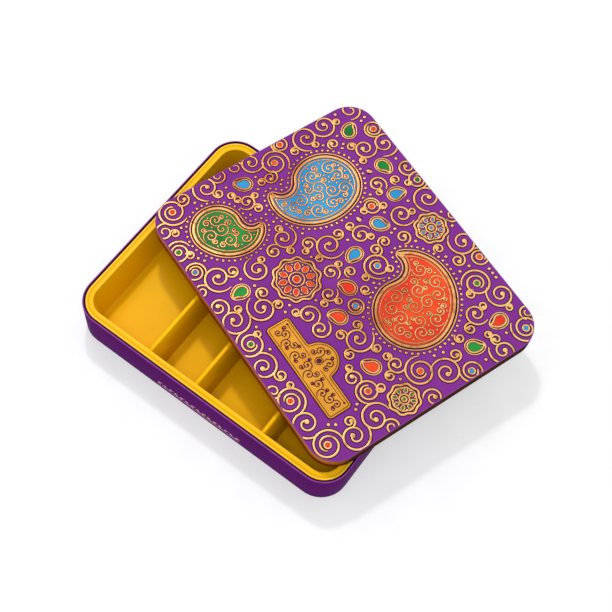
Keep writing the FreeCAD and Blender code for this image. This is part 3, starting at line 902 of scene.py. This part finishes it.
def drawRosettes(drawing, clearance):
    # an eye in a ring, petals with beads between them, and two wavy rims;
    # a petal's half width = radius * petalHalf * sin(pi * run ^ 0.8) ^ 0.75
    starts, style = [], ornament["rosette"]
    run = np.linspace(0, 1, 13)
    for rosette in ornament["rosettes"]:
        middle, radius, petals = np.array(rosette["middle"], float), rosette["radius"], rosette["petals"]
        drawing.ringBead(middle, radius * style["eye"], rosette["finish"])
        drawing.ring(middle, radius * style["ring"], style["ringWidth"])
        angle = np.linspace(0, 2 * math.pi, 12 * petals, endpoint=False)
        for offset, width, wave in style["rims"]:
            reach = (radius + offset) * (1 + wave * np.cos(petals * angle))
            drawing.line(middle + reach[:, None] * ways(angle), width, True)
        inner, outer = (radius * share for share in style["petal"])
        for turn in np.linspace(0, 2 * math.pi, petals, endpoint=False):
            ahead = way(turn)
            normal = np.repeat([[-ahead[1], ahead[0]]], len(run), 0)
            spine = middle + ahead * (inner + (outer - inner) * run)[:, None]
            half = radius * style["petalHalf"] * np.sin(math.pi * run ** 0.8) ** 0.75
            drawing.fills.append((spine[1:-1], normal[1:-1], half[1:-1], rosette["finish"]))
            rim = spineOutline(spine, normal, half, style["petalStep"])
            drawing.line(rim, style["petalLine"], True)
            drawing.bead(middle + radius * style["beadAt"] * way(turn + math.pi / petals), style["bead"])
        clearance.keepRound(middle, radius, style["keepOff"])
        for turn in np.linspace(0, 2 * math.pi, style["starts"], endpoint=False):
            spin = 1 if int(turn * 10) % 2 else -1      # in no plain order
            starts.append((middle + way(turn) * (radius + style["keepOff"]), way(turn), spin))
    return starts


def drawBuds(drawing, clearance, rng):
    # each small drop takes the place that is freest so far, well inside the border
    starts, style = [], ornament["buds"]
    inside = -overLid(clearance.points)
    for number in range(style["count"]):
        free = np.minimum(clearance.free, inside)
        spot = int(np.argmax(free))
        if free[spot] < style["least"]:
            break
        heading = rng.uniform(0, 360)
        back = way(math.radians(heading)) * (style["length"] / 2 - style["radius"])
        drop = {"finish": style["finishes"][number % len(style["finishes"])],
                "middle": clearance.points[spot] - back, "radius": style["radius"],
                "length": style["length"], "heading": heading, "curl": style["curl"] * (-1) ** number}
        starts += drawDrop(drawing, clearance, drop, style)[1]
    return starts


def drawScrolls(drawing, clearance, starts, rng):
    # now and then a large curl has a jewel for its eye, every other curl a bead
    style, jewel = ornament["scroll"], ornament["jewel"]
    bead, more = style["bead"]
    for index, curl in enumerate(growCurls(clearance, starts, style, rng)):
        radius, middle = curl["radius"], curl["middle"]
        if radius < style["uncut"] and overLid(middle[None])[0] > -style["cutShare"] * radius:
            continue        # a small curl isn't cut by the border
        hasJewel = radius > jewel["least"] and index % jewel["every"] == 0
        line, width = curlLine(curl, jewel["eye"] if hasJewel else style["eye"], style)
        drawing.line(line, width)
        if hasJewel:
            finish = jewel["finishes"][index // jewel["every"] % len(jewel["finishes"])]
            drawing.ringBead(middle, jewel["radius"], finish)
        else:
            drawing.bead(line[-1], bead + more * radius)
        clearance.keepRound(middle, radius, style["keepOff"])


def fillGaps(drawing, clearance, kinds, dot, rng):
    # the widest free place takes the largest motif that fits, until no place is wide enough
    style = ornament["fillers"]
    flower, leaf = style["flower"], style["leaf"]
    for number in range(style["most"]):
        spot = int(np.argmax(clearance.free))
        free, middle = clearance.free[spot], clearance.points[spot]
        fitting = [kind for least, kind in kinds if free >= least]
        if not fitting:
            break
        kind, used, finish = fitting[0], dot, style["finishes"][number % len(style["finishes"])]
        if kind == "flower":
            used = flower["used"]
            drawing.ringBead(middle, flower["eye"], finish)
            for turn in np.linspace(0, 2 * math.pi, flower["petals"], endpoint=False) + rng.uniform(0, 1):
                drawing.bead(middle + flower["reach"] * way(turn), flower["bead"])
        elif kind == "ring":
            used = min(free - style["ringMargin"], style["largestRing"])
            drawing.ringBead(middle, used, finish)
        elif kind == "leaf":
            used, run = leaf["used"], np.linspace(0, 1, 9)
            line = middle + way(rng.uniform(0, 2 * math.pi)) * (run - 0.5)[:, None] * leaf["length"]
            drawing.line(line, leaf["tip"] + leaf["swell"] * np.sin(math.pi * run ** 0.7) ** 0.8)
        else:
            drawing.bead(middle, dot)
        clearance.keepRound(middle, used, style["keepOff"])


def clippedRuns(points, width):
    # the stretches of an open line that lie on the print; a line that leaves it gets closer points first
    fineStep, spare, least = 0.4, 0.2, 5
    if (overLid(points) + ornament["border"]).max() < -width.max():
        return [(points, width)]
    fine = evenPath(points, fineStep)
    width = np.interp(np.linspace(0, 1, len(fine)), np.linspace(0, 1, len(points)), width)
    inside = overLid(fine) + ornament["border"] < width / 2 - spare
    inside = np.concatenate([[False], inside, [False]])
    starts, ends = np.flatnonzero(~inside[:-1] & inside[1:]), np.flatnonzero(inside[:-1] & ~inside[1:])
    return [(fine[a:b], width[a:b]) for a, b in zip(starts, ends) if b - a > least]


def railRows(points, width, closed, edge, rise):
    # four rails along a line: foot, shoulder, shoulder, foot, at half the width with a sloping side
    ahead = np.roll(points, -1, 0) - np.roll(points, 1, 0) if closed else np.gradient(points, axis=0)
    left = np.stack([-ahead[:, 1], ahead[:, 0]], 1) / np.linalg.norm(ahead, axis=1, keepdims=True)
    foot = width / 2 * (1 + edge)
    shoulder = np.maximum(width / 2 - ornament["shoulder"], ornament["leastShoulder"])
    across = np.stack([-foot, -shoulder, shoulder, foot], 1)
    flat = points[:, None] + left[:, None] * across[..., None]
    height = np.broadcast_to([-ornament["sunk"], rise, rise, -ornament["sunk"]], across.shape)
    return flat, height


def lineMesh(lines, edge, rise, clip):
    # every line becomes a closed strip with a flat top and sloping sides
    points, quads, rims, count = [], [], [], 0
    for index, (line, width, closed) in enumerate(lines):
        top = rise + ornament["step"] * index     # crossing lines never share a face
        for run, wide in [(line, width)] if closed or not clip else clippedRuns(line, width):
            flat, height = railRows(run, wide, closed, edge, top)
            flat = keptOnLid(flat.reshape(-1, 2)) if clip else flat.reshape(-1, 2)
            points.append(np.concatenate([flat, height.reshape(-1, 1)], 1))
            quads.append(gridFaces(len(run), 4, closed, True, count))
            if not closed:
                last = count + 4 * (len(run) - 1)
                quads.append(np.array([[0, 1, 2, 3], [3, 2, 1, 0]]) + [[count], [last]])
            rims.append(np.tile([1.0, 0.0, 0.0, 1.0], len(run)))
            count += 4 * len(run)
    return np.concatenate(points), np.concatenate(quads), np.concatenate(rims)


def fillMesh(fills):
    # coloured grounds: low strips about their spines
    points, quads, count = [], [], 0
    low, high, edge = -ornament["sunk"], ornament["fillRise"], ornament["fillEdge"]
    for spine, normal, half in fills:
        across = np.stack([-half - edge, -half, -half / 3, half / 3, half, half + edge], 1)
        flat = spine[:, None] + normal[:, None] * across[..., None]
        height = np.broadcast_to([low, high, high, high, high, low], across.shape)
        rows = len(spine)
        points.append(np.concatenate([flat.reshape(-1, 2), height.reshape(-1, 1)], 1))
        quads.append(gridFaces(rows, 6, False, True, count))
        start, end = np.array([[0, 1, 4, 5], [1, 2, 3, 4]]), np.array([[5, 4, 1, 0], [4, 3, 2, 1]])
        quads += [start + count, end + count + 6 * (rows - 1)]
        count += 6 * rows
    return np.concatenate(points), np.concatenate(quads)


def beadMesh(beads, sides=12):
    # a low dome: foot ring, shoulder ring and a top point
    x, y, radius = np.array(beads).T[:, :, None]
    angle = np.linspace(0, 2 * math.pi, sides, endpoint=False)
    foot, shoulder = beadFoot(radius), radius - ornament["shoulder"]
    rings = [np.stack(np.broadcast_arrays(x + r * np.cos(angle), y + r * np.sin(angle), z), -1)
             for r, z in ((foot, -ornament["sunk"]), (shoulder, ornament["rise"]))]
    top = np.stack([x, y, 0 * x + ornament["rise"] + ornament["dome"]], -1)
    points = np.concatenate([*rings, top], 1)
    number = np.arange(sides)
    after = np.roll(number, -1)
    one = points.shape[1]
    offset = one * np.arange(len(points))
    sidesQuads = np.stack([number, after, after + sides, number + sides], 1)
    quads = (sidesQuads[None] + offset[:, None, None]).reshape(-1, 4)
    caps = np.stack([number + sides, after + sides, np.full(sides, 2 * sides)], 1)
    caps = (caps[None] + offset[:, None, None]).reshape(-1, 3)
    grounds = number[::-1][None] + offset[:, None]
    rims = np.tile([1.0] * sides + [0.0] * (sides + 1), len(points))
    return points.reshape(-1, 3), quads, list(caps) + list(grounds), rims


def withBeads(points, quads, beads, height=1.0, sides=12):
    # lines or grounds and their beads as one mesh, the beads lowered to a share of their height
    dots, dotQuads, caps, _ = beadMesh(beads, sides)
    dots[:, 2] *= height
    first = len(points)
    quads = np.concatenate([quads, dotQuads + first])
    return np.concatenate([points, dots]), quads, [cap + first for cap in caps]


def onPrint(points):
    return onLid(points + np.array([0, 0, lid["height"]]))


def newFoil(name, points, quads, caps, rims):
    # a painted sheen makes the foil brighter towards the lid's long sides and its right end:
    # (2 |y| / width) ^ sidePower + endShare * (2 x / length, right of the middle) ^ endPower
    piece = newPiece(name, onPrint(points), quads, caps, goldFoil, "lid")
    giveValue(piece, "rim", rims)
    sidePower, endShare, endPower = ornament["shine"]
    sides = (2 * np.abs(points[:, 1]) / lid["width"]) ** sidePower
    ends = np.maximum(2 * points[:, 0] / lid["length"], 0) ** endPower
    giveValue(piece, "paintedSheen", sides + endShare * ends)


def drawLid():
    rng = np.random.default_rng(ornament["seed"])
    drawing, clearance = Drawing(), Clearance(**ornament["grid"])
    starts = drawDrops(drawing, clearance, rng) + drawRosettes(drawing, clearance)
    plate, margin = clearance.points - np.array(label["middle"]), ornament["labelMargin"]
    clearance.limit(plateDistance(plate, label["length"], label["width"], label["corner"]) - margin)
    clearance.limit(np.linalg.norm(plate - [0, label["width"] / 2], axis=1) - label["crest"] - margin)
    starts += drawBuds(drawing, clearance, rng)
    clearance.limit(ornament["scrollsPast"] - overLid(clearance.points))
    drawScrolls(drawing, clearance, starts, rng)
    clearance.limit(-ornament["fillersInside"] - overLid(clearance.points))
    fillGaps(drawing, clearance, ornament["fillers"]["kinds"], ornament["fillers"]["dot"], rng)

    points, quads, rims = lineMesh(drawing.lines, ornament["edge"], ornament["rise"], True)
    newFoil("lid_scrolls", points, quads, [], rims)
    newFoil("lid_beads", *beadMesh(drawing.beadsOf("gold")))
    for finish, material in inlays.items():
        points, quads = fillMesh([fill[:3] for fill in drawing.fills if fill[3] == finish])
        points, quads, caps = withBeads(points, quads, drawing.beadsOf(finish))
        newPiece("lid_inlay_" + finish, onPrint(points), quads, caps, material, "lid")
    print("lid drawn:", len(drawing.lines), "lines,", len(drawing.beads), "beads")


def arcPoints(x, y, radius, start, end, steps):
    # point = (x, y) + radius * (cos, sin), from one angle in degrees to another
    return np.array([x, y]) + radius * ways(np.radians(np.linspace(start, end, steps)))


def makeLabel():
    # a plate with round corners and a round crest, a soft edge and a groove that follows the edge
    halfX, halfY, corner = label["length"] / 2, label["width"] / 2, label["corner"]
    crest, fillet = label["crest"], label["crestFillet"]
    side = math.sqrt((crest + fillet) ** 2 - fillet ** 2)
    lean = math.degrees(math.atan2(fillet, side))
    x, y = halfX - corner, halfY - corner
    loop = np.concatenate([
        arcPoints(-x, -y, corner, 180, 270, 7), arcPoints(x, -y, corner, 270, 360, 7),
        arcPoints(x, y, corner, 0, 90, 7), arcPoints(side, halfY + fillet, fillet, -90, -180 + lean, 6),
        arcPoints(0, halfY, crest, lean, 180 - lean, 40),
        arcPoints(-side, halfY + fillet, fillet, -lean, -90, 6), arcPoints(-x, y, corner, 90, 180, 7)])
    loop = evenPath(loop, label["edgeStep"], True)
    thick, bevel = label["thickness"], label["bevel"]
    (start, end), slope = label["groove"], label["grooveSlope"]
    deep = thick - label["grooveDepth"]
    out, low = label["outline"], label["outlineRise"]
    profile = np.array([[-out, 0.0], [low - out, low], [0.0, low],
                        [0.0, thick - bevel], [bevel * 0.4, thick - bevel * 0.3], [bevel, thick],
                        [start, thick], [start + slope, deep], [end - slope, deep], [end, thick],
                        [label["margin"], thick]])
    dark = np.array([1.0, 1, 1, 0, 0, 0, 0, 1, 1, 0, 0])      # the outline and the groove
    grid = sweep(loop, outwardNormals(loop), profile)
    rows, columns = grid.shape[:2]
    quads = gridFaces(rows, columns, closeRows=True)
    ring = np.arange(rows) * columns
    place = np.array([*label["middle"], lid["height"]])
    caps = [ring[::-1], ring + columns - 1]
    plate = newPiece("label_plate", onLid(grid.reshape(-1, 3) + place), quads, caps, plateFoil,
                     "lid", ["lid_label"], 30.0)
    giveValue(plate, "rim", np.tile(dark, rows))


def drawTracery():
    # fine curls over the plate and its crest, a ringed bead between them, and a rule at each side of it
    rng = np.random.default_rng(ornament["seed"])
    style, drawing, gap = label["curl"], Drawing(), label["ringGap"]
    halfX, halfY = label["length"] / 2, label["width"] / 2
    hub = np.array([0.0, halfY - label["hubDrop"]])
    level, first, last = label["rule"]
    space = Clearance((-halfX, -halfY), (halfX, halfY + label["crest"]), label["pitch"])
    plate = plateDistance(space.points, label["length"], label["width"], label["corner"])
    crest = np.linalg.norm(space.points - [0, halfY], axis=1) - label["crest"]
    space.limit(-np.minimum(plate, crest) - label["margin"])
    space.keepRound(hub, label["ring"], gap)
    beside, above = np.abs(space.points[:, 0]), space.points[:, 1] - level
    beyond = np.maximum(np.maximum(first - beside, beside - last), 0)
    space.limit(np.hypot(beyond, above) - gap)

    drawing.ring(hub, label["ring"], label["line"], 30)
    beads = [(*hub, label["hub"])]
    for side in (-1, 1):
        run = np.linspace(first, last, 12) * side
        drawing.line(np.stack([run, 0 * run + level], 1), label["ruleWidth"])
        beads.append((side * last, level, label["endBead"]))
    fromLeft, fromRight, pitch = label["starts"]
    spots = np.arange(-halfX + fromLeft, halfX - fromRight, pitch)
    seeds = [(np.array([x, -halfY + label["margin"]]), np.array([0.0, 1.0]), 1 if number % 2 else -1)
             for number, x in enumerate(spots)]
    for number, turn in enumerate(np.radians(np.arange(0, 181, 20))):
        seeds.append((hub + way(turn) * (label["ring"] + gap), way(turn), 1 if number % 2 else -1))
    for curl in growCurls(space, seeds, style, rng):
        line, width = curlLine(curl, style["eye"], style)
        drawing.line(line, width)
        beads.append((*line[-1], label["curlBead"]))
    return drawing.lines, beads


def makeTracery():
    lines, beads = drawTracery()
    points, quads, _ = lineMesh(lines, label["lineEdge"], label["lineRise"], False)
    points, quads, caps = withBeads(points, quads, beads, label["beadHeight"])
    place = np.array([*label["middle"], lid["height"] + label["thickness"]])
    newPiece("label_tracery", onLid(points + place), quads, caps, plumInk, "lid")


# Frieze: a small running scroll over a thin rule, on the middle of the base's front

frieze = {
    "reach": 40.5, "level": 9.3, "pitch": 5.4, "tail": 0.72, "rule": 5.5, "ruleWidth": 0.5,
    "rise": 0.10, "lineEdge": 0.3, "bead": 0.42, "beadHeight": 0.4,
    "curl": {"largest": 1.8, "eye": 0.5, "turns": (1.05, 0.0), "width": 0.5},
}


def makeFrieze():
    # each curl has a straight tail that runs back to the next one
    style, reach, pitch, level = frieze["curl"], frieze["reach"], frieze["pitch"], frieze["level"]
    along = np.linspace(-reach, reach, 30)
    rule = np.stack([along, 0 * along + frieze["rule"]], 1)
    lines = [(rule, np.full(len(rule), frieze["ruleWidth"]), False)]
    spots = np.arange(-reach + pitch / 2, reach, pitch)
    run = np.linspace(0, 1, 6)[:-1, None]
    for number, spot in enumerate(spots):
        side = (-1) ** number
        curl = {"middle": np.array([spot, level]), "radius": style["largest"],
                "entry": side * math.pi / 2, "spin": -side}
        line, width = curlLine(curl, style["eye"], style)
        tail = line[:1] + [[pitch * frieze["tail"], 0]] * (1 - run)
        width = np.concatenate([0 * run[:, 0] + width[0], width])
        lines.append((np.concatenate([tail, line]), width, False))
    points, quads, _ = lineMesh(lines, frieze["lineEdge"], frieze["rise"], False)
    beads = [(spot, level, frieze["bead"]) for spot in spots]
    flat, quads, caps = withBeads(points, quads, beads, frieze["beadHeight"], 8)
    front = np.stack([flat[:, 0], -base["width"] / 2 - flat[:, 2], flat[:, 1]], 1)
    newPiece("base_frieze", front, quads, caps, roseInk, "base")


drawLid()
makeLabel()
makeTracery()
makeFrieze()
print("label and frieze made")


# CAD pieces that keep their shape

finishes = {
    "base_bottom_sheet": basePurple, "base_floor_board": greyBoard, "base_floor_lining": creamPaper,
    "base_seam_tape": kraftTape, "lid_seam_tape": kraftTape, "lid_top_board": greyBoard,
    "lid_lining": creamPaper,
}
for node, finish in finishes.items():
    nodes[node].data.materials.clear()
    nodes[node].data.materials.append(finish)
print("boards and linings dressed")


# Room: pale floor, soft light, the photograph's view

room = {
    "floorSize": 3.0, "floorCorner": 0.45,
    "floorProfile": ((0.02, -0.004), (0.0, -0.002), (0.002, 0.0), (0.4, 0.0)),
    "floorLight": (182, 182, 183), "floorDark": (176, 176, 177), "floorGlow": 0.41,
    "aim": (0.02, 0.01, 0.03),
    "lights": {
        "key": {"towards": (-0.377, 0.31, 0.873), "distance": 1.4, "size": 0.12, "power": 7.5, "gloss": False},
        "panel": {"towards": (-0.47, 0.26, 0.845), "distance": 1.5, "size": 0.42, "power": 2.55, "gloss": True},
        "fill": {"towards": (0.21, -0.368, 0.906), "distance": 1.5, "size": 0.5, "power": 3.7, "gloss": False},
    },
    "sky": (0.98, 0.985, 1.0, 1.0), "skyPower": 0.9,
}
view = {
    "position": (222.108, -343.268, 908.095), "ahead": (-0.21028008, 0.36804801, -0.90571682),
    "right": (0.80229956, 0.59435877, 0.05525452), "focal": 1230.979, "image": 612, "sensor": 36.0,
}


def makeFloor():
    # a wide plate in metres, its rounded edge out of sight
    walk, normals = roundedWalk(room["floorSize"], room["floorSize"], room["floorCorner"], 8, 4)
    profile = np.array(room["floorProfile"])
    grid = sweep(walk, normals, profile)
    rows, columns = len(walk), len(profile)
    middle = np.arange(rows) * columns + columns - 1
    mesh = bpy.data.meshes.new("floor")
    faces = gridFaces(rows, columns, closeRows=True).tolist() + [middle.tolist()]
    mesh.from_pydata(grid.reshape(-1, 3).tolist(), [], faces)
    floor = bpy.data.objects.new("floor", mesh)
    bpy.context.scene.collection.objects.link(floor)

    def build(flow):
        speck = objectNoise(flow, 40.0, 3.0).ramp(0.2, 0.8)
        return {"Base Color": speck.mix(paint(*room["floorDark"]), paint(*room["floorLight"]))}
    glow = {"Roughness": 0.7, "Specular IOR Level": 0.2, "Emission Color": (1.0, 1.0, 1.0, 1.0),
            "Emission Strength": room["floorGlow"]}
    mesh.materials.append(newMaterial("paleFloor", glow, build))


def stand(name, data, across, lift, back, place):
    # a light or camera whose own axes point along three given directions
    turned = np.eye(4)
    turned[:3] = np.stack([across, lift, back, place], 1)
    holder = bpy.data.objects.new(name, data)
    holder.matrix_world = Matrix(turned.tolist())
    bpy.context.scene.collection.objects.link(holder)
    return holder


def makeLight(name, towards, distance, size, power, gloss):
    lamp = bpy.data.lights.new(name, "AREA")
    lamp.shape = "DISK"
    lamp.size = size
    lamp.energy = power
    back = np.array(towards) / np.linalg.norm(towards)
    across = np.cross([0, 0, 1], back)
    across = across / np.linalg.norm(across)
    place = np.array(room["aim"]) + distance * back
    stand(name, lamp, across, np.cross(back, across), back, place).visible_glossy = gloss


def makeRoom():
    # key and fill only shade; the panel gives the gloss
    for name, light in room["lights"].items():
        makeLight(name, **light)
    world = bpy.data.worlds.new("sky")
    world.use_nodes = True
    sky = world.node_tree.nodes["Background"].inputs
    sky["Color"].default_value = room["sky"]
    sky["Strength"].default_value = room["skyPower"]
    bpy.context.scene.world = world
    bpy.context.scene.view_settings.view_transform = "Standard"


def makeCamera():
    camera = bpy.data.cameras.new("camera")
    camera.sensor_width = view["sensor"]
    camera.lens = view["focal"] / view["image"] * view["sensor"]
    back, right = -np.array(view["ahead"]), np.array(view["right"])
    place = np.array(view["position"]) * mm
    bpy.context.scene.camera = stand("camera", camera, right, np.cross(back, right), back, place)


makeFloor()
makeRoom()
makeCamera()
print("room made")
